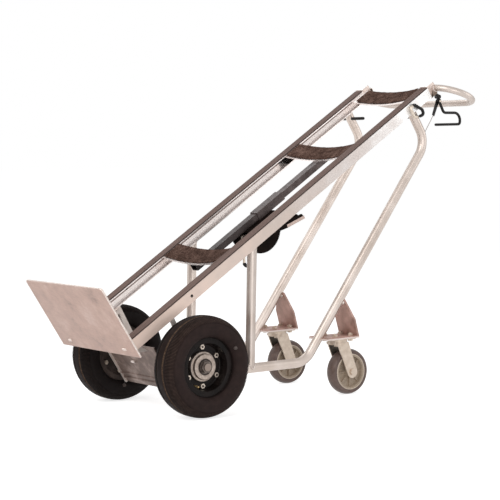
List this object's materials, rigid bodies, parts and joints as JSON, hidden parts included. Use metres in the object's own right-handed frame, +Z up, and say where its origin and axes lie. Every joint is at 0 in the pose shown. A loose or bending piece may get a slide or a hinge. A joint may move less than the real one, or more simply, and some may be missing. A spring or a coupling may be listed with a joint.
{
  "type": "four-wheel hand truck",
  "caption": "Leaning aluminium appliance hand truck on two main wheels and two swivel casters, with nose plate, felt-faced rails, belt ratchet and loop handle.",
  "frame": {"origin": "floor level under the middle of the overall length and width, standing on four wheels", "axes": "+X from the nose plate back to the handle, +Y to the operator's right, +Z up"},
  "size_m": [1.2922, 0.4936, 0.8763],
  "materials": {
    "rail_alu": "satin, lightly brushed",
    "nose_alu": "scuffed mill finish",
    "bracket_alu": "dull mill finish with a weld bead",
    "rub_strip": "fine grained, matte",
    "felt": "dense fibrous felt",
    "tyre": "matte",
    "rim_black": "gloss black enamel",
    "hub_steel": "turned",
    "zinc": "bright zinc plate",
    "caster_rubber": "smooth, slightly glossy",
    "caster_core": "moulded",
    "black_steel": "semi-gloss black",
    "bare_steel": "bare pressed steel",
    "grip_black": "matte",
    "webbing": "woven",
    "cable": "bare wire rope"
  },
  "bodies": {
    "frame": {"rail_caps": "rail_alu", "crossmember_lower": "rail_alu", "crossmember_middle": "rail_alu", "crossmember_upper": "rail_alu", "pad_lower": "felt", "pad_middle": "felt", "pad_upper": "felt", "nose_plate": "nose_alu", "axle_carrier": "nose_alu", "axle": "zinc", "axle_nuts": "zinc", "caster_bolts": "zinc", "loop_handle": "rail_alu", "belt_bar": "black_steel", "belt_anchor": "black_steel", "lever_lug": "black_steel", "rail_left": "rail_alu", "rail_right": "rail_alu", "rub_strip_left": "rub_strip", "rub_strip_right": "rub_strip", "axle_plate_left": "rail_alu", "axle_plate_right": "rail_alu", "side_frame_left": "rail_alu", "side_frame_right": "rail_alu", "post_left": "rail_alu", "post_right": "rail_alu", "caster_bracket_left": "bracket_alu", "caster_bracket_right": "bracket_alu", "caster_plate_left": "zinc", "caster_plate_right": "zinc", "tie_eye_left": "black_steel", "tie_eye_right": "black_steel"},
    "belt_slide": {"belt_slide": "black_steel", "ratchet_frame": "black_steel"},
    "ratchet_drum": {"ratchet_drum": "black_steel", "strap_roll": "webbing"},
    "ratchet_lever": {"ratchet_lever": "bare_steel", "lever_grip": "grip_black"},
    "strap_hook": {"strap_hook": "black_steel"},
    "release_lever": {"release_lever": "black_steel"},
    "cable_clevis": {"cable_clevis": "black_steel", "release_cable": "cable"},
    "wheel_left": {"tyre_left": "tyre", "rim_left": "rim_black", "hub_left": "hub_steel", "bearings_left": "hub_steel", "wheel_bolts_left": "zinc"},
    "caster_left": {"caster_fork_left": "zinc", "caster_axle_left": "zinc"},
    "caster_wheel_left": {"caster_core_left": "caster_core", "caster_tread_left": "caster_rubber"},
    "wheel_right": {"tyre_right": "tyre", "rim_right": "rim_black", "hub_right": "hub_steel", "bearings_right": "hub_steel", "wheel_bolts_right": "zinc"},
    "caster_right": {"caster_fork_right": "zinc", "caster_axle_right": "zinc"},
    "caster_wheel_right": {"caster_core_right": "caster_core", "caster_tread_right": "caster_rubber"}
  },
  "joints": [
    {"name": "wheel_left_spin", "type": "hinge", "parent": "frame", "child": "wheel_left", "pos_m": [-0.35395, -0.201, 0.132], "axis": [0, 1, 0], "continuous": true},
    {"name": "caster_left_swivel", "type": "hinge", "parent": "frame", "child": "caster_left", "pos_m": [0.15405, -0.1357, 0.146], "axis": [0, 0, 1], "continuous": true},
    {"name": "caster_left_spin", "type": "hinge", "parent": "caster_left", "child": "caster_wheel_left", "pos_m": [0.18805, -0.1357, 0.0635], "axis": [0, 1, 0], "continuous": true},
    {"name": "wheel_right_spin", "type": "hinge", "parent": "frame", "child": "wheel_right", "pos_m": [-0.35395, 0.201, 0.132], "axis": [0, 1, 0], "continuous": true},
    {"name": "caster_right_swivel", "type": "hinge", "parent": "frame", "child": "caster_right", "pos_m": [0.15405, 0.1357, 0.146], "axis": [0, 0, 1], "continuous": true},
    {"name": "caster_right_spin", "type": "hinge", "parent": "caster_right", "child": "caster_wheel_right", "pos_m": [0.18805, 0.1357, 0.0635], "axis": [0, 1, 0], "continuous": true},
    {"name": "belt_slide_travel", "type": "slide", "parent": "frame", "child": "belt_slide", "axis": [0.8453, 0, 0.5344], "range_m": [-0.175, 0.15]},
    {"name": "ratchet_drum_spin", "type": "hinge", "parent": "belt_slide", "child": "ratchet_drum", "pos_m": [-0.0134, 0, 0.44667], "axis": [0, 1, 0], "continuous": true},
    {"name": "ratchet_lever_swing", "type": "hinge", "parent": "belt_slide", "child": "ratchet_lever", "pos_m": [-0.0134, 0, 0.44667], "axis": [0, 1, 0], "range_deg": [0, 100]},
    {"name": "strap_hook_swing", "type": "hinge", "parent": "belt_slide", "child": "strap_hook", "pos_m": [-0.06536, 0, 0.44091], "axis": [0, 1, 0], "range_deg": [-25, 25]},
    {"name": "release_lever_squeeze", "type": "hinge", "parent": "frame", "child": "release_lever", "pos_m": [0.53477, -0.1387, 0.83023], "axis": [0, -1, 0], "range_deg": [0, 10], "stiffness_Nm_per_rad": 0.6},
    {"name": "cable_clevis_turn", "type": "hinge", "parent": "release_lever", "child": "cable_clevis", "pos_m": [0.54077, -0.1387, 0.81833], "axis": [0, -1, 0], "range_deg": [-11, 0]}
  ],
  "couplings": [
    {"joint": "cable_clevis_turn", "follows": "release_lever_squeeze", "ratio": -1.0719}
  ]
}
